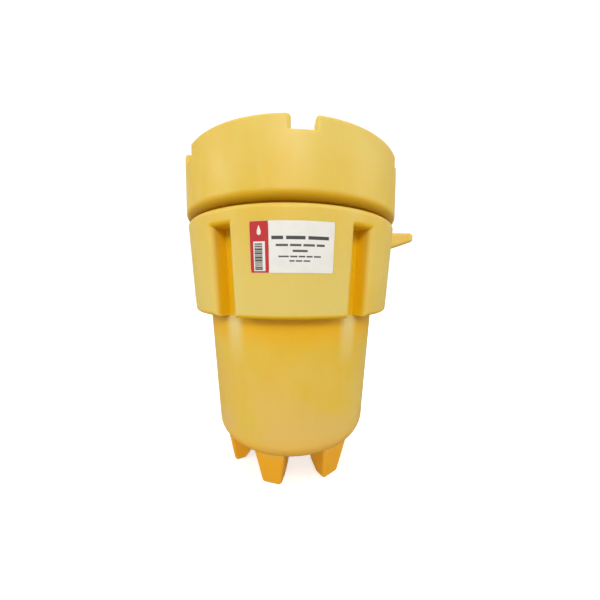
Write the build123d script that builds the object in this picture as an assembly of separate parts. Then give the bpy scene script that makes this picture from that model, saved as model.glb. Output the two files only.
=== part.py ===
"""Wheeled overpack salvage drum with a screw lid, in millimetres.

The origin is on the drum's axis at the ground. +Z is up, -Y is the front, where the middle leg is, and +Y
is the back, where the wheels are. An azimuth is counted in degrees from the front towards +X.
"""

import os

from build123d import *

# Rotomoulded walls, the rounding of their edges, how far a cut runs past a face, and how far past a limit
# an edge's middle has to be to count as beyond it
WALL = 7
EDGE = 14
OVERCUT = 20
FUZZ = 1

# Body: a cone that stands on a rounded base
BASE_Z = 104
BASE_R = 279.5
BASE_ROUND = 62
BODY_TOP_Z = 565
BODY_TOP_R = 309
BODY_SLOPE = (BODY_TOP_R - BASE_R) / (BODY_TOP_Z - BASE_Z)

# Collar: the wide band round the top, with four upright channels
COLLAR_BOTTOM_Z = BODY_TOP_Z
COLLAR_TOP_Z = 862
COLLAR_BOTTOM_R = 358
COLLAR_TOP_R = 378
COLLAR_CORE_R = 290
CHANNEL_ROOF_Z = 815
CHANNEL_WIDTH = 62
PANEL_AZIMUTH = 16.2
CHANNEL_OFFSETS = (-31.7, 31.7, 148.3, 211.7)

# Neck and its thread
NECK_R = 344
NECK_INNER_R = 336
NECK_TOP_Z = 1004
PITCH = 50
THREAD_ROOT = 22
THREAD_CREST = 12
THREAD_DEPTH = 8
THREAD_SINK = 3
NECK_THREAD_Z = 885
NECK_TURNS = 2
LID_THREAD_DROP = 19
LID_TURNS = 1.5

# Lid: a hollow skirt and rim, and a top panel set down inside the rim
LID_R = 381.5
PANEL_THICKNESS = 8
LID_BOTTOM_Z = 869
LID_TOP_Z = 1067
LID_LIP_ROUND = 22
HOLLOW_ROUND = 10
SKIRT_INNER_R = 354.5
RIM_INNER_R = 340
PANEL_R = 335
PANEL_Z = 1020
PANEL_STEP_R = 222
PANEL_STEP = 5
NOTCH_COUNT = 6
NOTCH_AZIMUTH = 20.2
NOTCH_WIDTH = 60
NOTCH_FLOOR_Z = 1027
NOTCH_EDGE = 10

# Gasket between the rim of the neck and the lid's panel
GASKET_INNER_R = 334.5
GASKET_OUTER_R = 346
GASKET_GAP = 0.2

# Legs
LEG_AZIMUTHS = (-51, 0, 51)
LEG_FOOT_R = 238
LEG_FOOT_INNER_R = 205
LEG_HEEL_R = 178
LEG_HEEL_Z = 38
LEG_TOP_Z = 165
LEG_TOP_R = 270
LEG_TOP_INNER_R = 158
LEG_FOOT_HALF = 33
LEG_TOP_HALF = 58
LEG_EDGE = 9
LEG_FRONT_ROUND = 10

# Side handles
HANDLE_AZIMUTHS = (-106.2, 106.2)
HANDLE_TOP_Z = 857
HANDLE_TIP_R = 470
HANDLE_TIP_DEPTH = 30
HANDLE_EDGE = 11
HANDLE_CORNER = 24
HANDLE_ROOT_Z = 793
HANDLE_HALF = 62
HANDLE_ROOT_R = 364
HANDLE_GRIP = 33
HANDLE_ARM = 17
HANDLE_GAP_R = 387
HANDLE_GAP_ROUND = 16
HANDLE_GAP_EDGE = 5

# Label on the panel between the two front channels
LABEL_BOTTOM_Z = 688
LABEL_TOP_Z = 816
LABEL_ARC = 33.6
LABEL_THICKNESS = 0.5

# Wheels, axle and the two lugs that carry it
WHEEL_R = 80
WHEEL_Y = 300
WHEEL_X = 172.5
TYRE_WIDTH = 45
TYRE_ROUND = 9
TYRE_LIP = 4
RIM_R = 58
RIM_THICKNESS = 8
RIM_INSET = 3
RIM_FLANGE = 3
RIM_FLANGE_WIDTH = 5
HUB_BOSS_R = 20
HUB_BOSS_WIDTH = 56
HUB_WEB = 8
SPOKES = 6
SPOKE_THICKNESS = 5
SPOKE_INSET = 7
SPOKE_OVERLAP = 3
AXLE_R = 8
AXLE_CHAMFER = 1.5
RUNNING_GAP = 0.05
AXLE_END_X = 214
BUSH_R = 12
BUSH_FLANGE_R = 16
BUSH_FLANGE = 2
BUSH_LENGTH = 18
WASHER_R = 15
WASHER_THICKNESS = 2
SIDE_GAP = 0.3
CAP_R = 13
CAP_LENGTH = 12
CAP_WALL = 2
CAP_ROUND = 5
LUG_INNER_X = 96
LUG_OUTER_X = 140
LUG_NOSE_R = 29
LUG_ROOT_Y = 200
LUG_ROOT_Z = 119
LUG_BACK_Y = 268
LUG_TOP_Z = 218
LUG_EDGE = 10


def collar_radius(z):
    """Radius of the collar's outer face at a height."""
    share = (z - COLLAR_BOTTOM_Z) / (COLLAR_TOP_Z - COLLAR_BOTTOM_Z)
    return COLLAR_BOTTOM_R + share * (COLLAR_TOP_R - COLLAR_BOTTOM_R)


def body_radius(z):
    """Radius of the body's outer face at a height, carried on up behind the collar."""
    return BASE_R + BODY_SLOPE * (z - BASE_Z)


def outline(corners):
    """Closed face with corners (across, up, rounding) in the upright plane through the X axis."""
    places = [(across, up) for across, up, _ in corners]
    roundings = [rounding for _, _, rounding in corners]
    return Plane.XZ * make_face(FilletPolyline(places, radius=roundings, close=True))


def lathe(corners):
    """Solid turned round the drum's axis from corners (radius, height, rounding)."""
    return revolve(outline(corners), Axis.Z)


def turned(shape, azimuth):
    """A shape made facing the front, turned to an azimuth."""
    return shape.rotate(Axis.Z, azimuth)


def radial_box(inner_r, outer_r, width, low_z, high_z):
    """Box that runs out from the axis towards the front, between two radii."""
    depth = outer_r - inner_r
    height = high_z - low_z
    place = Location((0, -(inner_r + outer_r) / 2, (low_z + high_z) / 2))
    return place * Box(width, depth, height)


def radial_slab(corners, half_width):
    """Slab with corners (radius, height, rounding), facing the front and centred on the YZ plane."""
    flat = extrude(outline(corners), half_width, both=True)
    return flat.rotate(Axis.Z, -90)


def thread_ridge(radius, start_z, turns, start_azimuth, outward):
    """Helical ridge of trapezium section that stands out of a cylinder, or inwards if outward is -1."""
    path = Helix(PITCH, PITCH * turns, radius)
    root = -THREAD_SINK * outward
    crest = THREAD_DEPTH * outward
    section = Plane(origin=path @ 0, x_dir=(1, 0, 0), z_dir=path % 0)
    face = section * make_face(
        Polyline(
            (root, -THREAD_ROOT / 2),
            (root, THREAD_ROOT / 2),
            (crest, THREAD_CREST / 2),
            (crest, -THREAD_CREST / 2),
            close=True,
        )
    )
    ridge = sweep(face, path=path, is_frenet=True)
    return ridge.translate((0, 0, start_z)).rotate(Axis.Z, start_azimuth)


def body_form(inset, top_z):
    """Body and neck as a filled form, with every face set in by inset."""
    neck_r = NECK_INNER_R if inset else NECK_R
    shoulder_z = COLLAR_TOP_Z - inset
    return lathe(
        [
            (0, BASE_Z + inset, 0),
            (BASE_R - inset, BASE_Z + inset, BASE_ROUND - inset),
            (body_radius(shoulder_z) - inset, shoulder_z, 0),
            (neck_r, shoulder_z, 0),
            (neck_r, top_z, 0),
            (0, top_z, 0),
        ]
    )


def collar_form(inset):
    """Collar with its channels as a filled form, with every face set in by inset."""
    low_z = COLLAR_BOTTOM_Z + inset
    high_z = COLLAR_TOP_Z - inset
    ring = lathe(
        [
            (COLLAR_CORE_R, low_z, 0),
            (COLLAR_BOTTOM_R - inset, low_z, 0),
            (COLLAR_TOP_R - inset, high_z, 0),
            (COLLAR_CORE_R, high_z, 0),
        ]
    )
    width = CHANNEL_WIDTH + 2 * inset
    inner_r = COLLAR_CORE_R - OVERCUT
    outer_r = COLLAR_TOP_R + OVERCUT
    channel = radial_box(inner_r, outer_r, width, low_z - OVERCUT, CHANNEL_ROOF_Z + inset)
    for offset in CHANNEL_OFFSETS:
        ring -= turned(channel, PANEL_AZIMUTH + offset)
    outer_edges = ring.edges().filter_by(lambda edge: edge_radius(edge) > NECK_R)
    return fillet(outer_edges, EDGE - inset)


def edge_radius(edge):
    """Distance of an edge's middle from the drum's axis."""
    middle = edge @ 0.5
    return (middle.X**2 + middle.Y**2) ** 0.5


def is_upright(edge):
    """True if an edge rises more than it runs to the side or outwards."""
    course = edge % 0.5
    return abs(course.Z) > max(abs(course.X), abs(course.Y))


def leg_form(inset):
    """One hollow leg as a filled form facing the front, with every face set in by inset."""
    corner = 0 if inset else LEG_EDGE
    side = radial_slab(
        [
            (LEG_TOP_INNER_R + inset, LEG_TOP_Z, 0),
            (LEG_HEEL_R + inset, LEG_HEEL_Z + inset, corner),
            (LEG_FOOT_INNER_R + inset / 2, inset, corner / 2),
            (LEG_FOOT_R - inset, inset, corner),
            (LEG_TOP_R - inset, LEG_TOP_Z, 0),
        ],
        LEG_TOP_HALF * 2,
    )
    front = outline(
        [
            (-LEG_FOOT_HALF + inset, inset, corner),
            (LEG_FOOT_HALF - inset, inset, corner),
            (LEG_TOP_HALF - inset, LEG_TOP_Z, 0),
            (-LEG_TOP_HALF + inset, LEG_TOP_Z, 0),
        ]
    )
    leg = side & extrude(front, LEG_TOP_R * 2)
    if inset:
        return leg
    front_edges = leg.edges().filter_by(lambda edge: is_upright(edge) and (edge @ 0.5).Y < -LEG_FOOT_R)
    return fillet(front_edges.filter_by(GeomType.LINE), LEG_FRONT_ROUND)


def handle():
    """Grab handle facing the front: a gusset that tapers to a bar, with a gap for the fingers."""
    tip_low_z = HANDLE_TOP_Z - HANDLE_TIP_DEPTH
    side = radial_slab(
        [
            (HANDLE_ROOT_R, HANDLE_TOP_Z, 0),
            (HANDLE_TIP_R, HANDLE_TOP_Z, 0),
            (HANDLE_TIP_R, tip_low_z, 0),
            (HANDLE_ROOT_R, HANDLE_ROOT_Z, 0),
        ],
        HANDLE_HALF,
    )
    plan = Location((0, -(HANDLE_ROOT_R + HANDLE_TIP_R) / 2)) * Rectangle(
        2 * HANDLE_HALF, HANDLE_TIP_R - HANDLE_ROOT_R
    )
    tip_corners = plan.vertices().sort_by(Axis.Y)[:2]
    plan = fillet(tip_corners, HANDLE_CORNER)
    grab = side & extrude(plan, LID_TOP_Z)
    outer_edges = grab.edges().filter_by(lambda edge: (edge @ 0.5).Y < -HANDLE_ROOT_R - FUZZ)
    grab = fillet(outer_edges.filter_by(is_upright, reverse=True), HANDLE_EDGE)
    gap_outer_r = HANDLE_TIP_R - HANDLE_GRIP
    gap_half = HANDLE_HALF - HANDLE_ARM
    gap = Location((0, -(HANDLE_GAP_R + gap_outer_r) / 2)) * RectangleRounded(
        2 * gap_half, gap_outer_r - HANDLE_GAP_R, HANDLE_GAP_ROUND
    )
    grab -= extrude(gap, LID_TOP_Z)
    gap_edges = grab.edges().filter_by_position(Axis.Y, -gap_outer_r - FUZZ, -HANDLE_GAP_R + FUZZ)
    gap_edges = gap_edges.filter_by_position(Axis.X, -gap_half - FUZZ, gap_half + FUZZ)
    return fillet(gap_edges.filter_by(is_upright, reverse=True), HANDLE_GAP_EDGE)


def axle_lug():
    """Moulded lug on the right that carries the axle behind the body."""
    low_z = WHEEL_R - LUG_NOSE_R
    high_z = WHEEL_R + LUG_NOSE_R
    nose_y = WHEEL_Y + LUG_NOSE_R
    face = outline(
        [
            (LUG_ROOT_Y, LUG_ROOT_Z, 0),
            (WHEEL_Y - LUG_NOSE_R, low_z, LUG_NOSE_R / 2),
            (nose_y, low_z, LUG_NOSE_R - 1),
            (nose_y, high_z, LUG_NOSE_R - 1),
            (LUG_BACK_Y, LUG_TOP_Z, 12),
            (LUG_ROOT_Y, LUG_TOP_Z, 0),
        ]
    )
    lug = extrude(face, LUG_OUTER_X - LUG_INNER_X).rotate(Axis.Z, 90)
    side_edges = lug.edges().filter_by(Axis.X, reverse=True)
    lug = fillet(side_edges.filter_by(lambda edge: (edge @ 0.5).Y > LUG_ROOT_Y + FUZZ), LUG_EDGE)
    return lug.translate((LUG_OUTER_X - lug.bounding_box().max.X, 0, 0))


def drum_body():
    """Rotomoulded drum: body, collar, neck and its thread, legs, handles and axle lugs."""
    outside = body_form(0, NECK_TOP_Z) + collar_form(0)
    inside = body_form(WALL, NECK_TOP_Z + OVERCUT) + collar_form(WALL)
    for azimuth in LEG_AZIMUTHS:
        outside += turned(leg_form(0), azimuth)
        inside += turned(leg_form(WALL), azimuth)
    for azimuth in HANDLE_AZIMUTHS:
        outside += turned(handle(), azimuth)
    lug = axle_lug()
    outside += lug
    outside += lug.mirror(Plane.YZ)
    bore = Location((0, WHEEL_Y, WHEEL_R), (0, 90, 0)) * Cylinder(AXLE_R + RUNNING_GAP, 2 * AXLE_END_X)
    shell = outside - inside - bore
    return shell + thread_ridge(NECK_R, NECK_THREAD_Z, NECK_TURNS, 0, 1)


def notches(widening, floor_z):
    """The cuts across the lid's rim for a turning bar."""
    width = NOTCH_WIDTH + 2 * widening
    notch = radial_box(RIM_INNER_R - OVERCUT, LID_R + OVERCUT, width, floor_z, LID_TOP_Z + OVERCUT)
    step = 360 / NOTCH_COUNT
    return [turned(notch, NOTCH_AZIMUTH + step * index) for index in range(NOTCH_COUNT)]


def lid():
    """Hollow screw lid with a notched rim, a recessed panel and the inner thread."""
    rim = lathe(
        [
            (SKIRT_INNER_R, LID_BOTTOM_Z, 3),
            (LID_R, LID_BOTTOM_Z, LID_LIP_ROUND),
            (LID_R, LID_TOP_Z, 0),
            (RIM_INNER_R, LID_TOP_Z, 0),
            (PANEL_R, PANEL_Z, 0),
            (PANEL_R, PANEL_Z - PANEL_THICKNESS, 0),
            (SKIRT_INNER_R, PANEL_Z - PANEL_THICKNESS, 0),
        ]
    )
    for notch in notches(0, NOTCH_FLOOR_Z):
        rim -= notch
    rim = fillet(rim.edges().filter_by(lambda edge: (edge @ 0.5).Z > NOTCH_FLOOR_Z + FUZZ), NOTCH_EDGE)
    hollow = lathe(
        [
            (SKIRT_INNER_R + WALL, LID_BOTTOM_Z + WALL, 2),
            (LID_R - WALL, LID_BOTTOM_Z + WALL, HOLLOW_ROUND),
            (LID_R - WALL, LID_TOP_Z - WALL, 2),
            (RIM_INNER_R + WALL, LID_TOP_Z - WALL, 2),
            (PANEL_R + WALL + 2, PANEL_Z + WALL, 2),
            (SKIRT_INNER_R + WALL, PANEL_Z - PANEL_THICKNESS, 2),
        ]
    )
    for notch in notches(WALL, NOTCH_FLOOR_Z - WALL):
        hollow -= notch
    panel = lathe(
        [
            (0, PANEL_Z + PANEL_STEP, 0),
            (PANEL_STEP_R, PANEL_Z + PANEL_STEP, 3),
            (PANEL_STEP_R + 2 * PANEL_STEP, PANEL_Z, 3),
            (PANEL_R, PANEL_Z, 0),
            (PANEL_R, PANEL_Z - PANEL_THICKNESS, 0),
            (PANEL_STEP_R + PANEL_STEP, PANEL_Z - PANEL_THICKNESS, 3),
            (PANEL_STEP_R - PANEL_STEP, PANEL_Z + PANEL_STEP - PANEL_THICKNESS, 3),
            (0, PANEL_Z + PANEL_STEP - PANEL_THICKNESS, 0),
        ]
    )
    ridge_start_z = NECK_THREAD_Z + PITCH / 2 - LID_THREAD_DROP
    ridge = thread_ridge(SKIRT_INNER_R, ridge_start_z, LID_TURNS, 180, -1)
    return rim - hollow + panel + ridge


def lid_gasket():
    """Flat sealing ring between the neck's rim and the lid's panel."""
    low_z = NECK_TOP_Z + GASKET_GAP
    high_z = PANEL_Z - PANEL_THICKNESS - GASKET_GAP
    return lathe(
        [
            (GASKET_INNER_R, low_z, 1.5),
            (GASKET_OUTER_R, low_z, 1.5),
            (GASKET_OUTER_R, high_z, 1.5),
            (GASKET_INNER_R, high_z, 1.5),
        ]
    )


def front_label():
    """Thin label that lies on the collar's front panel."""
    low_r = collar_radius(LABEL_BOTTOM_Z)
    high_r = collar_radius(LABEL_TOP_Z)
    face = outline(
        [
            (low_r, LABEL_BOTTOM_Z, 0),
            (low_r + LABEL_THICKNESS, LABEL_BOTTOM_Z, 0),
            (high_r + LABEL_THICKNESS, LABEL_TOP_Z, 0),
            (high_r, LABEL_TOP_Z, 0),
        ]
    )
    label = revolve(face, Axis.Z, LABEL_ARC)
    return label.rotate(Axis.Z, PANEL_AZIMUTH - 90 - LABEL_ARC / 2)


def on_axle(corners):
    """Solid turned round the axle from corners (distance along X, distance from the axle, rounding)."""
    places = [(along, away) for along, away, _ in corners]
    roundings = [rounding for _, _, rounding in corners]
    face = Plane.XZ * make_face(FilletPolyline(places, radius=roundings, close=True))
    return revolve(face, Axis.X).translate((0, WHEEL_Y, WHEEL_R))


def ring_on_axle(start_x, length, inner_r, outer_r, rounding=0):
    """Plain ring round the axle."""
    return on_axle(
        [
            (start_x, inner_r, 0),
            (start_x + length, inner_r, 0),
            (start_x + length, outer_r, rounding),
            (start_x, outer_r, rounding),
        ]
    )


def axle():
    """Steel axle with its ends chamfered."""
    rod = Cylinder(AXLE_R, 2 * AXLE_END_X)
    rod = chamfer(rod.edges().filter_by(GeomType.CIRCLE), AXLE_CHAMFER)
    return Location((0, WHEEL_Y, WHEEL_R), (0, 90, 0)) * rod


def wheel_hub():
    """Plastic hub of the right wheel: rim, web, spokes and boss."""
    low_x = WHEEL_X - TYRE_WIDTH / 2 + RIM_INSET
    high_x = WHEEL_X + TYRE_WIDTH / 2 - RIM_INSET
    low_groove_x = low_x + RIM_FLANGE_WIDTH
    high_groove_x = high_x - RIM_FLANGE_WIDTH
    flange_r = RIM_R + RIM_FLANGE
    hub = on_axle(
        [
            (low_x, RIM_R - RIM_THICKNESS, 2),
            (high_x, RIM_R - RIM_THICKNESS, 2),
            (high_x, flange_r, 1.5),
            (high_groove_x, flange_r, 1.5),
            (high_groove_x - RIM_FLANGE, RIM_R, 0),
            (low_groove_x + RIM_FLANGE, RIM_R, 0),
            (low_groove_x, flange_r, 1.5),
            (low_x, flange_r, 1.5),
        ]
    )
    hub += ring_on_axle(WHEEL_X - HUB_WEB / 2, HUB_WEB, BUSH_R, RIM_R - SPOKE_OVERLAP)
    hub += ring_on_axle(WHEEL_X - HUB_BOSS_WIDTH / 2, HUB_BOSS_WIDTH, BUSH_R, HUB_BOSS_R, 1.5)
    spoke_low = HUB_BOSS_R - SPOKE_OVERLAP
    spoke_high = RIM_R - RIM_THICKNESS + SPOKE_OVERLAP
    spoke = Box(TYRE_WIDTH - 2 * SPOKE_INSET, SPOKE_THICKNESS, spoke_high - spoke_low)
    for index in range(SPOKES):
        place = Location((WHEEL_X, WHEEL_Y, WHEEL_R)) * Rotation(360 / SPOKES * index, 0, 0)
        hub += place * Location((0, 0, (spoke_low + spoke_high) / 2)) * spoke
    return hub


def tyre():
    """Solid rubber tyre that fills the hub's groove."""
    low_x = WHEEL_X - TYRE_WIDTH / 2
    high_x = WHEEL_X + TYRE_WIDTH / 2
    groove_x = RIM_INSET + RIM_FLANGE_WIDTH
    return on_axle(
        [
            (low_x + groove_x + RIM_FLANGE, RIM_R, 0),
            (high_x - groove_x - RIM_FLANGE, RIM_R, 0),
            (high_x - groove_x, RIM_R + RIM_FLANGE, 0),
            (high_x, RIM_R + TYRE_LIP, 2),
            (high_x, WHEEL_R, TYRE_ROUND),
            (low_x, WHEEL_R, TYRE_ROUND),
            (low_x, RIM_R + TYRE_LIP, 2),
            (low_x + groove_x, RIM_R + RIM_FLANGE, 0),
        ]
    )


def bush(outer):
    """Flanged nylon bush pressed into one end of the right wheel's boss."""
    face_x = WHEEL_X + (HUB_BOSS_WIDTH / 2 if outer else -HUB_BOSS_WIDTH / 2)
    inwards = -1 if outer else 1
    bore = AXLE_R + RUNNING_GAP
    return on_axle(
        [
            (face_x - inwards * BUSH_FLANGE, bore, 0),
            (face_x + inwards * BUSH_LENGTH, bore, 0),
            (face_x + inwards * BUSH_LENGTH, BUSH_R, 0),
            (face_x, BUSH_R, 0),
            (face_x, BUSH_FLANGE_R, 0),
            (face_x - inwards * BUSH_FLANGE, BUSH_FLANGE_R, 0),
        ]
    )


def washer(outer):
    """Steel washer between the right wheel and its lug, or between the wheel and the cap."""
    reach = HUB_BOSS_WIDTH / 2 + BUSH_FLANGE + SIDE_GAP
    start_x = WHEEL_X + reach if outer else WHEEL_X - reach - WASHER_THICKNESS
    return ring_on_axle(start_x, WASHER_THICKNESS, AXLE_R + RUNNING_GAP, WASHER_R, 0.4)


def axle_cap():
    """Domed push-on cap that keeps the right wheel on the axle."""
    start_x = WHEEL_X + HUB_BOSS_WIDTH / 2 + BUSH_FLANGE + SIDE_GAP + WASHER_THICKNESS
    end_x = start_x + CAP_LENGTH
    return on_axle(
        [
            (start_x, AXLE_R + RUNNING_GAP, 0),
            (end_x - CAP_WALL, AXLE_R + RUNNING_GAP, 0),
            (end_x - CAP_WALL, 0, 0),
            (end_x, 0, 0),
            (end_x, CAP_R, CAP_ROUND),
            (start_x, CAP_R, 0.6),
        ]
    )


def both_sides(name, right):
    """A piece on the right and its mirror image on the left."""
    return {"right_" + name: right, "left_" + name: right.mirror(Plane.YZ)}


def pieces():
    """Every piece by its name."""
    made = {
        "drum_body": drum_body(),
        "lid": lid(),
        "lid_gasket": lid_gasket(),
        "front_label": front_label(),
        "axle": axle(),
    }
    made.update(both_sides("wheel_hub", wheel_hub()))
    made.update(both_sides("tyre", tyre()))
    made.update(both_sides("inner_bush", bush(False)))
    made.update(both_sides("outer_bush", bush(True)))
    made.update(both_sides("inner_washer", washer(False)))
    made.update(both_sides("outer_washer", washer(True)))
    made.update(both_sides("axle_cap", axle_cap()))
    return made


os.makedirs("parts", exist_ok=True)
for name, piece in pieces().items():
    export_step(piece, "parts/" + name + ".step")
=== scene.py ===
"""Looks of the wheeled overpack drum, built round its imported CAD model. Lengths are in metres.

The CAD nodes that already have the right shape keep it and get procedural materials. The tyres and
the label are pieces made here. An azimuth is counted in degrees from the front (-Y) towards +X.
"""

import random
from math import atan2, cos, degrees, pi, radians, sin

import bmesh
import bpy
from mathutils import Matrix, Vector


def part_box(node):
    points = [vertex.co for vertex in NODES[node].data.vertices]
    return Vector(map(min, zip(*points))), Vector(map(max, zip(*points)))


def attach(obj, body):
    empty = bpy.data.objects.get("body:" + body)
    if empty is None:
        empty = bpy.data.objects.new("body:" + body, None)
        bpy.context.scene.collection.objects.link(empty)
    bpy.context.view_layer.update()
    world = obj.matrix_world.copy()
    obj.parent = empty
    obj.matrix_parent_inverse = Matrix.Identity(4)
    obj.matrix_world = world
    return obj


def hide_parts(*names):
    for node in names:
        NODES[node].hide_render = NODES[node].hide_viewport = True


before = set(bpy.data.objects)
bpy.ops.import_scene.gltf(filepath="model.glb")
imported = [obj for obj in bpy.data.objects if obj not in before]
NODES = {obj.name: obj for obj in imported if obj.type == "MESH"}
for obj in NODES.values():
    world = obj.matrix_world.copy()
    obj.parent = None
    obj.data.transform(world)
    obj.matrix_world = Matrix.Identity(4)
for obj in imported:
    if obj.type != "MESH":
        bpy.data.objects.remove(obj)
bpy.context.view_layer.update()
SIDES = ("left", "right")

# Camera: turned a little from the front, at chest height and close enough for strong perspective
CAMERA_AZIMUTH = 16.2
CAMERA_DISTANCE = 0.968
CAMERA_HEIGHT = 0.662
CAMERA_YAW = 1.94
CAMERA_PITCH = 4.06
CAMERA_ROLL = 0.32
CAMERA_LENS = 14.18
CAMERA_NEAR = 0.02
SENSOR_WIDTH = 36

# The yellow plastic's colours, linear
LID_YELLOW = (0.690, 0.455, 0.045)
DRUM_YELLOW = (0.700, 0.464, 0.054)
WARM_YELLOW = (0.760, 0.425, 0.022)
# Painted shade in hollows and on faces that look down
HOLLOW_SHADE_YELLOW = (0.820, 0.465, 0.003)
PALE_YELLOW = (0.745, 0.600, 0.200)
# Painted sheen: paler colour on the collar's panels where the front light reflects
SHEEN_YELLOW = (0.680, 0.560, 0.190)
# Painted shade: deeper orange on the legs under the body
LEG_SHADE_YELLOW = (0.900, 0.400, 0.012)
PEACH_YELLOW = (0.740, 0.470, 0.130)
# Painted shadow of the collar on the body below it
COLLAR_SHADOW_YELLOW = (0.800, 0.420, 0.006)
# Painted shade on the lid's lower lip above the gap to the collar
LIP_SHADE_YELLOW = (0.560, 0.300, 0.001)
# Painted light: pale streaks where light falls through the channels onto the body
LIT_STREAK_YELLOW = (0.760, 0.590, 0.230)

# The other materials' colours, linear
TYRE_BLACK = (0.018, 0.018, 0.019)
TYRE_DUST = (0.085, 0.080, 0.072)
GASKET_BLACK = (0.022, 0.022, 0.023)
GASKET_DUST = (0.060, 0.058, 0.055)
HUB_BLACK = (0.040, 0.041, 0.044)
HUB_WORN = (0.120, 0.118, 0.112)
NYLON = (0.74, 0.72, 0.65)
NYLON_WORN = (0.56, 0.53, 0.46)
ZINC = (0.60, 0.60, 0.58)
ZINC_SPOT = (0.36, 0.34, 0.30)
LABEL_WHITE = (0.75, 0.735, 0.695)
LABEL_RED = (0.48, 0.024, 0.028)
LABEL_BLACK = (0.055, 0.053, 0.055)
LABEL_GREY = (0.09, 0.088, 0.088)
WHITE = (1, 1, 1, 1)

# Light and stage: each lamp has a name, azimuth, elevation, distance from AIM, size and power
BACKDROP_LIGHT = 1.1
WORLD_LIGHT = 0.65
WORLD_TINT = (1.0, 0.97, 0.90)
FLOOR_SEEN = 0.90
FLOOR_BOUNCE = 0.36
FLOOR_GLOW = 0.45
FLOOR_REACH = 14.0
AIM = Vector((0, 0, 0.62))
LAMPS = (
    ("key", 14, 28, 8.0, 2.6, 330),
    ("left", -54, 20, 5.0, 1.6, 54),
    ("right", 84, 20, 5.0, 1.6, 38),
    ("back", 200, 42, 8.0, 3.0, 300),
)

# Heights on the drum where each tint starts and is full
COLLAR_FOOT = 0.565
COLLAR_EDGE = 0.002
# Painted sheen up the collar, and where it starts above the collar's foot
COLLAR_PALE = (0.862, 0.602)
COLLAR_START = (0.562, 0.572)
PEACH_HEIGHTS = (0.46, 0.22)
# Painted shadow of the collar on the body
COLLAR_SHADOW_HEIGHTS = (0.455, 0.535)
# Painted lit streaks below the channels
LIT_STREAK_HEIGHTS = (0.40, 0.54)
# Painted shade on the legs
LEG_SHADE_HEIGHTS = (0.18, 0.09)
# Painted shade on the lid's lower lip
LIP_SHADE_HEIGHTS = (0.896, 0.872)

# Azimuth of the front panel, its edges' angles from it, a channel's angle from it, and the
# angles from the channel's middle where a painted lit streak starts and is full
PANEL_AZIMUTH = 16.2
PANEL_EDGES = (radians(26), radians(34))
CHANNEL_ANGLE = radians(34.5)
LIT_STREAK_EDGES = (radians(7.5), radians(2.5))

# Painted shade: its reach, and the openness, slopes and radii where it starts and is full
HOLLOW_REACH = 0.22
HOLLOW_OPENNESS = (0.96, 0.68)
BESIDE_SLOPES = (0.45, 0.05)
UNDER_SLOPES = (0.0, -0.40)
SUNK_RADII = (0.377, 0.340)
HANDLE_RADII = (0.40, 0.385)
INSIDE_RADII = (0.25, 0.29)
INSIDE_SHARE = 0.25

# Shares of the painted sheen up the collar, and of that on its panels and between them
COLLAR_SHARES = (0.15, 0.85)
PANEL_SHARES = (1.0, 0.4)

# Marks in the plastic: the noise where each starts and is full, and its share there
BLOTCHES = (0.40, 0.66, 0.0, 0.45)
RIPPLES = (0.50, 0.80, 0.0, 0.20)
SPECKLES = (0.60, 0.75, 0.0, 0.10)
SCUFFS = (0.66, 0.80, 0.0, 0.25)
PEACH_PATCHES = (0.38, 0.58, 0.0, 0.75)
STREAK_START = 0.50
STREAK_FULL = 0.74
DRUM_STREAKS = 0.40
LID_STREAKS = 0.18
# Share of the painted lit streaks below the channels
LIT_STREAK_SHARE = 0.9
PLASTIC_ROUGHNESS = (0.3, 0.7, 0.38, 0.54)
SCATTER_RADIUS = (1.0, 0.42, 0.06)

# Roughness of the label's film and of the ink on it
FILM_ROUGHNESS = 0.34
INK_ROUGHNESS = 0.45


def polar(azimuth, radius, z):
    """Point at an azimuth in degrees, a radius and a height."""
    turn = radians(azimuth)
    return Vector((radius * sin(turn), -radius * cos(turn), z))


# ---------------------------------------------------------------- materials


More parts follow.
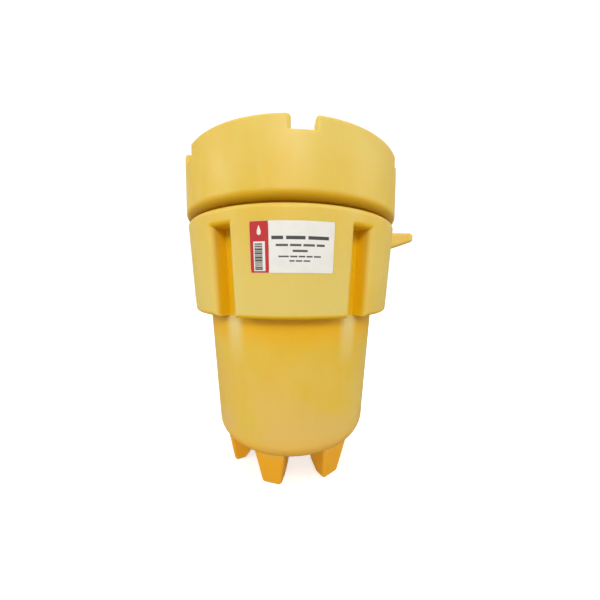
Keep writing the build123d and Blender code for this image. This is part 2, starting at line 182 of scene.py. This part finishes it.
class Recipe:
    """One procedural material, with short calls to add and join its nodes."""

    def __init__(self, name):
        self.material = bpy.data.materials.new(name)
        self.material.use_nodes = True
        self.tree = self.material.node_tree
        self.shader = self.tree.nodes["Principled BSDF"]
        self.place = self.tree.nodes.new("ShaderNodeTexCoord").outputs["Object"]

    def join(self, source, socket):
        self.tree.links.new(source, socket)

    def noise(self, scale, detail=3.0, roughness=0.5, place=None):
        node = self.tree.nodes.new("ShaderNodeTexNoise")
        node.inputs["Scale"].default_value = scale
        node.inputs["Detail"].default_value = detail
        node.inputs["Roughness"].default_value = roughness
        self.join(place or self.place, node.inputs["Vector"])
        return node.outputs["Fac"]

    def stretched(self, scales):
        """Object coordinates stretched along each axis."""
        node = self.tree.nodes.new("ShaderNodeMapping")
        node.inputs["Scale"].default_value = scales
        self.join(self.place, node.inputs["Vector"])
        return node.outputs["Vector"]

    def height(self):
        """Height of the shaded point in the object's own coordinates."""
        node = self.tree.nodes.new("ShaderNodeSeparateXYZ")
        self.join(self.place, node.inputs["Vector"])
        return node.outputs["Z"]

    def radius(self):
        """Distance of the shaded point from the drum's axis."""
        node = self.tree.nodes.new("ShaderNodeVectorMath")
        node.operation = "LENGTH"
        self.join(self.stretched((1, 1, 0)), node.inputs[0])
        return node.outputs["Value"]

    def panel_angle(self):
        """Angle in radians from the nearer of the front and rear panels."""
        turn = self.tree.nodes.new("ShaderNodeMapping")
        turn.inputs["Rotation"].default_value = (0, 0, radians(-PANEL_AZIMUTH))
        self.join(self.place, turn.inputs["Vector"])
        folded = self.tree.nodes.new("ShaderNodeVectorMath")
        folded.operation = "ABSOLUTE"
        self.join(turn.outputs["Vector"], folded.inputs[0])
        parts = self.tree.nodes.new("ShaderNodeSeparateXYZ")
        self.join(folded.outputs["Vector"], parts.inputs["Vector"])
        return self.work_out("ARCTAN2", parts.outputs["X"], parts.outputs["Y"])

    def facing_up(self):
        """1 where the surface looks straight up, -1 where it looks down."""
        node = self.tree.nodes.new("ShaderNodeSeparateXYZ")
        normal = self.tree.nodes.new("ShaderNodeNewGeometry").outputs["Normal"]
        self.join(normal, node.inputs["Vector"])
        return node.outputs["Z"]

    def work_out(self, operation, first, second=None):
        """Result of an operation on one or two values, each an output or a number."""
        node = self.tree.nodes.new("ShaderNodeMath")
        node.operation = operation
        for value, socket in ((first, node.inputs[0]), (second, node.inputs[1])):
            if isinstance(value, (int, float)):
                socket.default_value = value
            elif value is not None:
                self.join(value, socket)
        return node.outputs["Value"]

    def product(self, first, *others):
        """All the values multiplied together."""
        for value in others:
            first = self.work_out("MULTIPLY", first, value)
        return first

    def openness(self, reach):
        """1 on an open face, down to 0 deep in a hollow."""
        node = self.tree.nodes.new("ShaderNodeAmbientOcclusion")
        node.samples = 8
        node.inputs["Distance"].default_value = reach
        return node.outputs["AO"]

    def remap(self, source, low, high, to_low=0.0, to_high=1.0):
        node = self.tree.nodes.new("ShaderNodeMapRange")
        node.inputs["From Min"].default_value = low
        node.inputs["From Max"].default_value = high
        node.inputs["To Min"].default_value = to_low
        node.inputs["To Max"].default_value = to_high
        self.join(source, node.inputs["Value"])
        return node.outputs["Result"]

    def blend(self, share, first, second):
        """Mix of two colours, each a tuple or another node's output."""
        node = self.tree.nodes.new("ShaderNodeMix")
        node.data_type = "RGBA"
        self.join(share, node.inputs["Factor"])
        for value, socket in ((first, node.inputs["A"]), (second, node.inputs["B"])):
            if isinstance(value, tuple):
                socket.default_value = (*value, 1.0)
            else:
                self.join(value, socket)
        return node.outputs["Result"]

    def bump(self, layers):
        """Bump from layers of (height output, distance in metres, strength), one on another."""
        normal = None
        for source, distance, strength in layers:
            node = self.tree.nodes.new("ShaderNodeBump")
            node.inputs["Distance"].default_value = distance
            node.inputs["Strength"].default_value = strength
            self.join(source, node.inputs["Height"])
            if normal is not None:
                self.join(normal, node.inputs["Normal"])
            normal = node.outputs["Normal"]
        self.join(normal, self.shader.inputs["Normal"])

    def colour(self, output):
        self.join(output, self.shader.inputs["Base Color"])

    def roughness(self, output):
        self.join(output, self.shader.inputs["Roughness"])

    def set(self, **values):
        for name, value in values.items():
            self.shader.inputs[name.replace("_", " ")].default_value = value


def body_patches_and_light(recipe, colour):
    """Peach patches low on the body, painted shadow under the collar, painted lit streaks below
    channels.
    """
    height = recipe.height()
    patches = recipe.remap(recipe.noise(4.6, 2.0), *PEACH_PATCHES)
    low = recipe.remap(height, *PEACH_HEIGHTS)
    colour = recipe.blend(recipe.product(patches, low), colour, PEACH_YELLOW)
    outside = recipe.remap(height, COLLAR_FOOT, COLLAR_FOOT - COLLAR_EDGE)
    # Painted shadow of the collar on the body just below it
    under = recipe.remap(height, *COLLAR_SHADOW_HEIGHTS)
    colour = recipe.blend(recipe.product(under, outside), colour, COLLAR_SHADOW_YELLOW)
    # Painted light: pale streaks where light falls down through the channels
    from_channel = recipe.work_out("SUBTRACT", recipe.panel_angle(), CHANNEL_ANGLE)
    lit_streak = recipe.remap(recipe.work_out("ABSOLUTE", from_channel), *LIT_STREAK_EDGES, 0.0, LIT_STREAK_SHARE)
    reach = recipe.remap(height, *LIT_STREAK_HEIGHTS)
    return recipe.blend(recipe.product(lit_streak, reach, outside), colour, LIT_STREAK_YELLOW)


def collar_sheen(recipe, colour):
    """Painted sheen on the collar: palest at the foot of its front and rear panels."""
    height = recipe.height()
    sheen = recipe.remap(height, *COLLAR_PALE, *COLLAR_SHARES)
    inside = recipe.remap(height, *COLLAR_START)
    panel = recipe.remap(recipe.panel_angle(), *PANEL_EDGES, *PANEL_SHARES)
    return recipe.blend(recipe.product(sheen, inside, panel), colour, SHEEN_YELLOW)


def hollow_shade(recipe, colour):
    """Painted shade: deeper colour in hollows and on faces that look down, but not on the handles.
    """
    upward = recipe.facing_up()
    radius = recipe.radius()
    hollow = recipe.remap(recipe.openness(HOLLOW_REACH), *HOLLOW_OPENNESS)
    beside = recipe.remap(upward, *BESIDE_SLOPES)
    sunk = recipe.product(hollow, beside, recipe.remap(radius, *SUNK_RADII))
    under = recipe.product(
        recipe.remap(upward, *UNDER_SLOPES),
        recipe.remap(radius, *HANDLE_RADII),
        recipe.remap(radius, *INSIDE_RADII, INSIDE_SHARE, 1.0),
    )
    return recipe.blend(recipe.work_out("MAXIMUM", sunk, under), colour, HOLLOW_SHADE_YELLOW)


def moulded_plastic(name, main, streaks, foot_shade_heights, foot_shade, is_drum):
    """Satin rotomoulded polyethylene: blotches, pigment speckle, slow waves, fine orange peel,
    painted shade, and on the drum a painted sheen and lit streaks.
    """
    recipe = Recipe(name)
    colour = recipe.blend(recipe.remap(recipe.noise(3.1, 2.0), *BLOTCHES), main, PALE_YELLOW)
    streak = recipe.noise(1.0, 2.0, 0.5, recipe.stretched((9.0, 9.0, 3.4)))
    streak = recipe.remap(streak, STREAK_START, STREAK_FULL, 0.0, streaks)
    colour = recipe.blend(streak, colour, WARM_YELLOW)
    ripple = recipe.noise(1.0, 3.0, 0.5, recipe.stretched((30.0, 30.0, 7.0)))
    colour = recipe.blend(recipe.remap(ripple, *RIPPLES), colour, PALE_YELLOW)
    if is_drum:
        # Painted sheen on the collar's panels
        colour = collar_sheen(recipe, colour)
    # Painted shade in hollows and under faces that look down
    colour = hollow_shade(recipe, colour)
    if is_drum:
        colour = body_patches_and_light(recipe, colour)
    # Painted shade at the foot: the drum's legs and the lid's lower lip
    colour = recipe.blend(recipe.remap(recipe.height(), *foot_shade_heights), colour, foot_shade)
    speckle = recipe.noise(420, 2.0)
    colour = recipe.blend(recipe.remap(speckle, *SPECKLES), colour, WARM_YELLOW)
    scuff = recipe.noise(1.0, 6.0, 0.7, recipe.stretched((60, 60, 9)))
    colour = recipe.blend(recipe.remap(scuff, *SCUFFS), colour, PALE_YELLOW)
    recipe.colour(colour)
    recipe.roughness(recipe.remap(recipe.noise(11, 4.0), *PLASTIC_ROUGHNESS))
    recipe.bump(
        [
            (recipe.noise(5.5, 1.0), 0.010, 0.20),
            (recipe.noise(26, 2.0), 0.0016, 0.18),
            (recipe.noise(520, 2.0), 0.00025, 0.20),
        ]
    )
    recipe.set(Subsurface_Radius=SCATTER_RADIUS, Subsurface_Weight=0.4, Subsurface_Scale=0.022)
    recipe.set(IOR=1.5, Specular_IOR_Level=0.3)
    return recipe.material


def rubber(name, main, dust):
    """Matt black rubber with dust in its grain."""
    recipe = Recipe(name)
    dusty = recipe.remap(recipe.noise(38, 5.0, 0.65), 0.46, 0.72, 0.0, 0.75)
    recipe.colour(recipe.blend(dusty, main, dust))
    recipe.roughness(recipe.remap(recipe.noise(70, 3.0), 0.3, 0.7, 0.68, 0.90))
    recipe.bump([(recipe.noise(260, 3.0), 0.0005, 0.35)])
    recipe.set(IOR=1.5, Specular_IOR_Level=0.3)
    return recipe.material


def hard_plastic(name, main, worn):
    """Grained injection-moulded plastic with handling marks."""
    recipe = Recipe(name)
    marks = recipe.remap(recipe.noise(55, 6.0, 0.7), 0.52, 0.72, 0.0, 0.6)
    recipe.colour(recipe.blend(marks, main, worn))
    recipe.roughness(recipe.remap(recipe.noise(90, 3.0), 0.3, 0.7, 0.40, 0.58))
    recipe.bump([(recipe.noise(700, 2.0), 0.0002, 0.25)])
    recipe.set(IOR=1.5, Specular_IOR_Level=0.4)
    return recipe.material


def zinc_plate(name):
    """Dull bright zinc with faint turning lines and a few darker spots."""
    recipe = Recipe(name)
    spots = recipe.remap(recipe.noise(140, 5.0, 0.7), 0.55, 0.75, 0.0, 0.7)
    recipe.colour(recipe.blend(spots, ZINC, ZINC_SPOT))
    lines = recipe.noise(1.0, 2.0, 0.5, recipe.stretched((900, 30, 30)))
    recipe.roughness(recipe.remap(lines, 0.3, 0.7, 0.24, 0.42))
    recipe.bump([(lines, 0.0001, 0.3)])
    recipe.set(Metallic=1.0)
    return recipe.material


def printed_film(name, main, roughness=FILM_ROUGHNESS):
    """Printed vinyl with faint mottling and handling marks."""
    recipe = Recipe(name)
    tint = tuple(0.90 * channel for channel in main)
    mottling = recipe.remap(recipe.noise(30, 4.0), 0.45, 0.7, 0.0, 0.5)
    recipe.colour(recipe.blend(mottling, main, tint))
    recipe.roughness(recipe.remap(recipe.noise(45, 3.0), 0.3, 0.7, roughness, roughness + 0.14))
    recipe.bump([(recipe.noise(18, 2.0), 0.0008, 0.12)])
    recipe.set(IOR=1.46, Specular_IOR_Level=0.4)
    return recipe.material


def floor_paper(name):
    """White studio floor with a slight grain, which throws back less light than it shows."""
    recipe = Recipe(name)
    seen = recipe.tree.nodes.new("ShaderNodeLightPath").outputs["Is Camera Ray"]
    recipe.colour(recipe.blend(seen, (FLOOR_BOUNCE,) * 3, (FLOOR_SEEN,) * 3))
    recipe.join(recipe.remap(seen, 0, 1, 0, FLOOR_GLOW), recipe.shader.inputs["Emission Strength"])
    recipe.bump([(recipe.noise(300, 2.0), 0.0002, 0.1)])
    recipe.set(Roughness=0.9, Emission_Color=WHITE)
    return recipe.material


def studio_world():
    """White backdrop behind the object, lit by softer and warmer surroundings."""
    world = bpy.data.worlds.new("studio")
    world.use_nodes = True
    tree = world.node_tree
    lit = tree.nodes["Background"]
    lit.inputs["Color"].default_value = (*WORLD_TINT, 1)
    lit.inputs["Strength"].default_value = WORLD_LIGHT
    shown = tree.nodes.new("ShaderNodeBackground")
    shown.inputs["Color"].default_value = WHITE
    shown.inputs["Strength"].default_value = BACKDROP_LIGHT
    mix = tree.nodes.new("ShaderNodeMixShader")
    path = tree.nodes.new("ShaderNodeLightPath")
    tree.links.new(path.outputs["Is Camera Ray"], mix.inputs["Fac"])
    tree.links.new(lit.outputs["Background"], mix.inputs[1])
    tree.links.new(shown.outputs["Background"], mix.inputs[2])
    tree.links.new(mix.outputs["Shader"], tree.nodes["World Output"].inputs["Surface"])
    return world


def dress(node, material):
    """Gives a CAD node its material."""
    slots = NODES[node].data.materials
    slots.clear()
    slots.append(material)


# ---------------------------------------------------------------- pieces


def piece(name, points, faces, material, body, smooth=True):
    """Mesh piece that rides on a body."""
    mesh = bpy.data.meshes.new(name)
    mesh.from_pydata([tuple(point) for point in points], [], faces)
    form = bmesh.new()
    form.from_mesh(mesh)
    bmesh.ops.recalc_face_normals(form, faces=form.faces)
    form.to_mesh(mesh)
    form.free()
    mesh.materials.append(material)
    for polygon in mesh.polygons:
        polygon.use_smooth = smooth
    made = bpy.data.objects.new(name, mesh)
    bpy.context.scene.collection.objects.link(made)
    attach(made, body)
    return made


def ring_mesh(profile, centre):
    """Points and faces of a closed profile of (distance along X, radius) turned round X."""
    points = []
    for step in range(RING_STEPS):
        turn = 2 * pi * step / RING_STEPS
        for along, radius in profile:
            points.append(centre + Vector((along, radius * sin(turn), radius * cos(turn))))
    count = len(profile)
    faces = []
    for step in range(RING_STEPS):
        here = step * count
        after = (step + 1) % RING_STEPS * count
        for index in range(count):
            onward = (index + 1) % count
            faces.append((here + index, here + onward, after + onward, after + index))
    return points, faces


def arc(centre_x, centre_r, radius, start, end):
    """Points of a rounding in a ring's profile, from a start to an end angle in degrees."""
    turns = [radians(start + (end - start) * step / ARC_STEPS) for step in range(ARC_STEPS + 1)]
    return [(centre_x + radius * cos(turn), centre_r + radius * sin(turn)) for turn in turns]


# ---------------------------------------------------------------- wheels


RING_STEPS = 128
ARC_STEPS = 5
TREAD_RIBS = 4
TREAD_GROOVE = 0.0030
TREAD_DEPTH = 0.0022
RIB_EASE = 0.0004
RIB_DROP = 0.0006
SHOULDER = 0.0080
# Just below the shoulder: (distance out from the tyre's side, distance down from the shoulder)
UPPER_WALL = ((0.0, 0.0015), (-0.0002, 0.0022))
# From there to the bead: (distance out from the tyre's side, distance up from the bore)
LOWER_WALL = ((-0.0008, 0.0060), (-0.0022, 0.0040), (-0.0060, 0.0032), (-0.0110, 0.0002))
BORE_OVERLAP = 0.003


def tyre_profile(half_width, inner_r, outer_r):
    """Section of a solid tyre with ribs round its tread and slightly sunk sidewalls."""
    tread_half = half_width - SHOULDER
    pitch = 2 * tread_half / TREAD_RIBS
    crown = []
    for rib in range(1, TREAD_RIBS):
        middle = -tread_half + rib * pitch
        crown += [
            (middle - TREAD_GROOVE / 2 - RIB_EASE, outer_r),
            (middle - TREAD_GROOVE / 2, outer_r - RIB_DROP),
            (middle - TREAD_GROOVE / 3, outer_r - TREAD_DEPTH),
            (middle + TREAD_GROOVE / 3, outer_r - TREAD_DEPTH),
            (middle + TREAD_GROOVE / 2, outer_r - RIB_DROP),
            (middle + TREAD_GROOVE / 2 + RIB_EASE, outer_r),
        ]
    left_round = arc(-tread_half, outer_r - SHOULDER, SHOULDER, 180, 90)
    right_round = arc(tread_half, outer_r - SHOULDER, SHOULDER, 90, 0)
    right_side = [(half_width + out, outer_r - SHOULDER - down) for out, down in UPPER_WALL]
    right_side += [(half_width + out, inner_r + up) for out, up in LOWER_WALL]
    left_side = [(-along, radius) for along, radius in reversed(right_side)]
    return left_side + left_round + crown + right_round + right_side


def make_tyre(side, material):
    """Detailed tyre in place of the plain CAD ring."""
    low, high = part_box(side + "_tyre")
    centre = (low + high) / 2
    half_width = (high.x - low.x) / 2
    outer_r = (high.z - low.z) / 2
    hub_low, hub_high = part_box(side + "_wheel_hub")
    inner_r = (hub_high.z - hub_low.z) / 2 - BORE_OVERLAP
    points, faces = ring_mesh(tyre_profile(half_width, inner_r, outer_r), centre)
    tyre = piece(side + "_ribbed_tyre", points, faces, material, side + "_wheel")
    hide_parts(side + "_tyre")


# ---------------------------------------------------------------- label


FILM = 0.00030
INK = 0.00006
SAME_HEIGHT = 1e-5
LABEL_COLUMNS = 48
LABEL_ROWS = 12
BAND_COLUMNS = 12
LABEL_CORNER = 0.001

# Boxes (left, bottom, right, top) and the drop's centre, in shares of the label's width and height
LABEL_BOX = (0, 0, 1, 1)
BAND_BOX = (0.0012, 0.002, 0.228, 0.998)
DROP_CENTRE = (0.114, 0.83)
CODE_GROUND = (0.044, 0.035, 0.184, 0.610)
CODE_BOX = (0.057, 0.055, 0.152, 0.590)
HEADING_LINE = (0.262, 0.625, 0.932, 0.735)
TEXT_LINES = (
    (0.310, 0.500, 0.882, 0.575),
    (0.505, 0.390, 0.680, 0.462),
    (0.340, 0.292, 0.840, 0.345),
    (0.468, 0.208, 0.712, 0.258),
)

# The drop's height and shape, and how its outline is divided
DROP_SIZE = 0.0125
DROP_SHARPNESS = 1.6
DROP_SLIMNESS = 0.62
DROP_STEPS = 40

# A dash's length, margin and gap, in heights of its line
DASH_LENGTHS = (1.1, 2.4)
DASH_MARGIN = 0.2
DASH_GAP = 0.30

# Stripes, in shares of the label's height
BAR_THICKNESSES = (0.010, 0.016, 0.022, 0.032)
BAR_GAPS = (0.006, 0.008, 0.012)
BAR_LEAST = 0.012


class Patch:
    """The label's place on the collar: a cone that is read from the CAD label."""

    def __init__(self, node):
        corners = [vertex.co for vertex in NODES[node].data.vertices]
        self.low_z = min(corner.z for corner in corners)
        self.high_z = max(corner.z for corner in corners)
        self.low_r = self.inner_radius(corners, self.low_z)
        self.high_r = self.inner_radius(corners, self.high_z)
        turns = [degrees(atan2(corner.x, -corner.y)) for corner in corners]
        self.first = min(turns)
        self.last = max(turns)
        self.width = radians(self.last - self.first) * (self.low_r + self.high_r) / 2
        self.tall = self.high_z - self.low_z

    @staticmethod
    def inner_radius(corners, z):
        """Least radius among the corners at a height."""
        level = [corner for corner in corners if abs(corner.z - z) < SAME_HEIGHT]
        return min((corner.x**2 + corner.y**2) ** 0.5 for corner in level)

    def at(self, across, up, lift):
        """Point at shares of the label's width and height, lifted off the collar."""
        z = self.low_z + up * self.tall
        radius = self.low_r + up * (self.high_r - self.low_r) + lift
        return polar(self.first + across * (self.last - self.first), radius, z)


def film_sheet(name, patch, box, lift, material, columns=LABEL_COLUMNS):
    """Thin closed film with rounded corners over a box of the label, lying on the cone."""
    left, bottom, right, top = box
    rows = LABEL_ROWS
    inset_u = LABEL_CORNER / patch.width
    points = []
    for level in (lift - FILM, lift):
        for row in range(rows + 1):
            up = bottom + (top - bottom) * row / rows
            edge = min(up - bottom, top - up) * patch.tall
            bite = 0.0
            if edge < LABEL_CORNER:
                bite = inset_u * (1 - (1 - (1 - edge / LABEL_CORNER) ** 2) ** 0.5)
            for column in range(columns + 1):
                share = column / columns
                across = left + bite + (right - left - 2 * bite) * share
                points.append(patch.at(across, up, level))
    wide = columns + 1
    tall = rows + 1
    faces = []
    for row in range(rows):
        for column in range(columns):
            low = row * wide + column
            faces.append((low, low + 1, low + 1 + wide, low + wide))
            high = low + wide * tall
            faces.append((high, high + wide, high + 1 + wide, high + 1))
    rim = list(range(wide))
    rim += [row * wide + columns for row in range(1, tall)]
    rim += [rows * wide + column for column in range(columns - 1, -1, -1)]
    rim += [row * wide for row in range(rows - 1, 0, -1)]
    for index, corner in enumerate(rim):
        onward = rim[(index + 1) % len(rim)]
        faces.append((corner, onward, onward + wide * tall, corner + wide * tall))
    return piece(name, points, faces, material, "drum", smooth=False)


def ink_marks(name, patch, boxes, lift, material):
    """Flat printed marks, one small curved strip for each box, joined as one piece."""
    points = []
    faces = []
    for left, bottom, right, top in boxes:
        columns = max(1, round((right - left) * LABEL_COLUMNS))
        first = len(points)
        for level in (lift - INK, lift):
            for up in (bottom, top):
                for column in range(columns + 1):
                    points.append(patch.at(left + (right - left) * column / columns, up, level))
        wide = columns + 1
        for column in range(columns):
            a = first + column
            b = a + wide
            c = a + 2 * wide
            d = a + 3 * wide
            faces += [(a, b, b + 1, a + 1), (c, c + 1, d + 1, d)]
            faces += [(a, a + 1, c + 1, c), (b, d, d + 1, b + 1)]
        for a in (first, first + columns):
            faces.append((a, a + 2 * wide, a + 3 * wide, a + wide))
    return piece(name, points, faces, material, "drum", smooth=False)


def dashes(chance, line):
    """Plain dashes of word length along a line (left, bottom, right, top), which spell nothing."""
    left, bottom, right, top = line
    tall = top - bottom
    boxes = []
    across = left
    while across < right - tall:
        end = min(across + tall * chance.uniform(*DASH_LENGTHS), right)
        if right - end < tall:
            end = right
        boxes.append((across, bottom + DASH_MARGIN * tall, end, top - DASH_MARGIN * tall))
        across = end + tall * DASH_GAP
    return boxes


def bars(chance, box):
    """Plain stripes of uneven width, stacked up a box, that encode nothing."""
    left, bottom, right, top = box
    boxes = []
    up = bottom
    while up < top - BAR_LEAST:
        thick = chance.choice(BAR_THICKNESSES)
        boxes.append((left, up, right, min(up + thick, top)))
        up += thick + chance.choice(BAR_GAPS)
    return boxes


def drop_mark(name, patch, lift, material):
    """Generic drop of liquid, printed on the label's band."""
    middle, height = DROP_CENTRE
    points = []
    for level in (lift - INK, lift):
        for step in range(DROP_STEPS):
            turn = 2 * pi * step / DROP_STEPS
            swell = sin(turn / 2) ** DROP_SHARPNESS
            across = middle + DROP_SIZE * sin(turn) * swell * DROP_SLIMNESS / patch.width
            up = height + DROP_SIZE * cos(turn) / patch.tall
            points.append(patch.at(across, up, level))
    faces = [tuple(range(DROP_STEPS)), tuple(range(2 * DROP_STEPS - 1, DROP_STEPS - 1, -1))]
    for step in range(DROP_STEPS):
        onward = (step + 1) % DROP_STEPS
        faces.append((step, onward, DROP_STEPS + onward, DROP_STEPS + step))
    return piece(name, points, faces, material, "drum", smooth=False)


def make_label():
    """White label with a red band, a drop, stripes and rows of blank marks."""
    patch = Patch("front_label")
    chance = random.Random(7)
    white = printed_film("label_white", LABEL_WHITE)
    red = printed_film("label_red", LABEL_RED)
    black = printed_film("label_black", LABEL_BLACK, INK_ROUGHNESS)
    grey = printed_film("label_grey", LABEL_GREY, INK_ROUGHNESS)
    base = film_sheet("label_sheet", patch, LABEL_BOX, FILM, white)
    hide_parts("front_label")
    above = FILM + INK
    film_sheet("label_band", patch, BAND_BOX, above, red, BAND_COLUMNS)
    drop_mark("label_drop", patch, above + INK, white)
    ink_marks("label_code_ground", patch, [CODE_GROUND], above + INK, white)
    ink_marks("label_code", patch, bars(chance, CODE_BOX), above + 2 * INK, black)
    ink_marks("label_heading", patch, dashes(chance, HEADING_LINE), above, black)
    lines = [box for line in TEXT_LINES for box in dashes(chance, line)]
    ink_marks("label_lines", patch, lines, above, grey)


# ---------------------------------------------------------------- stage


def make_stage():
    """Pale floor, soft white surroundings and the lamps."""
    mesh = bpy.data.meshes.new("floor")
    signs = ((-1, -1), (1, -1), (1, 1), (-1, 1))
    corners = [(across * FLOOR_REACH, along * FLOOR_REACH, 0) for across, along in signs]
    mesh.from_pydata(corners, [], [(0, 1, 2, 3)])
    mesh.materials.append(floor_paper("floor_paper"))
    floor = bpy.data.objects.new("floor", mesh)
    bpy.context.scene.collection.objects.link(floor)
    bpy.context.scene.world = studio_world()
    for name, azimuth, elevation, distance, size, power in LAMPS:
        data = bpy.data.lights.new(name, "AREA")
        data.shape = "DISK"
        data.size = size
        data.energy = power
        lamp = bpy.data.objects.new(name, data)
        flat = distance * cos(radians(elevation))
        lamp.location = AIM + polar(azimuth, flat, distance * sin(radians(elevation)))
        lamp.rotation_euler = (AIM - lamp.location).to_track_quat("-Z", "Y").to_euler()
        bpy.context.scene.collection.objects.link(lamp)


def make_camera():
    """Camera at the view's azimuth, turned by its yaw, pitch and roll."""
    yaw = radians(CAMERA_YAW)
    pitch = radians(CAMERA_PITCH)
    roll = radians(CAMERA_ROLL)
    forward = Vector((sin(yaw) * cos(pitch), cos(yaw) * cos(pitch), -sin(pitch)))
    level = Vector((cos(yaw), -sin(yaw), 0))
    upright = level.cross(forward)
    right = cos(roll) * level + sin(roll) * upright
    up = -sin(roll) * level + cos(roll) * upright
    turn = Matrix.Rotation(radians(CAMERA_AZIMUTH), 3, "Z")
    axes = Matrix([turn @ right, turn @ up, turn @ -forward]).transposed()
    data = bpy.data.cameras.new("camera")
    data.lens = CAMERA_LENS
    data.sensor_width = SENSOR_WIDTH
    data.clip_start = CAMERA_NEAR
    camera = bpy.data.objects.new("camera", data)
    place = polar(CAMERA_AZIMUTH, CAMERA_DISTANCE, CAMERA_HEIGHT)
    camera.matrix_world = Matrix.Translation(place) @ axes.to_4x4()
    bpy.context.scene.collection.objects.link(camera)
    bpy.context.scene.camera = camera


# ---------------------------------------------------------------- the whole


make_camera()
make_stage()
bpy.context.scene.view_settings.view_transform = "Standard"

drum_plastic = moulded_plastic(
    "drum_plastic", DRUM_YELLOW, DRUM_STREAKS, LEG_SHADE_HEIGHTS, LEG_SHADE_YELLOW, is_drum=True
)
lid_plastic = moulded_plastic(
    "lid_plastic", LID_YELLOW, LID_STREAKS, LIP_SHADE_HEIGHTS, LIP_SHADE_YELLOW, is_drum=False
)
tyre_rubber = rubber("tyre_rubber", TYRE_BLACK, TYRE_DUST)
gasket_rubber = rubber("gasket_rubber", GASKET_BLACK, GASKET_DUST)
hub_plastic = hard_plastic("hub_plastic", HUB_BLACK, HUB_WORN)
bush_nylon = hard_plastic("bush_nylon", NYLON, NYLON_WORN)
zinc = zinc_plate("zinc")

dress("drum_body", drum_plastic)
dress("lid", lid_plastic)
dress("lid_gasket", gasket_rubber)
dress("axle", zinc)
make_label()
for side in SIDES:
    make_tyre(side, tyre_rubber)
    dress(side + "_wheel_hub", hub_plastic)
    for metal in ("_inner_washer", "_outer_washer", "_axle_cap"):
        dress(side + metal, zinc)
    for bush in ("_inner_bush", "_outer_bush"):
        dress(side + bush, bush_nylon)
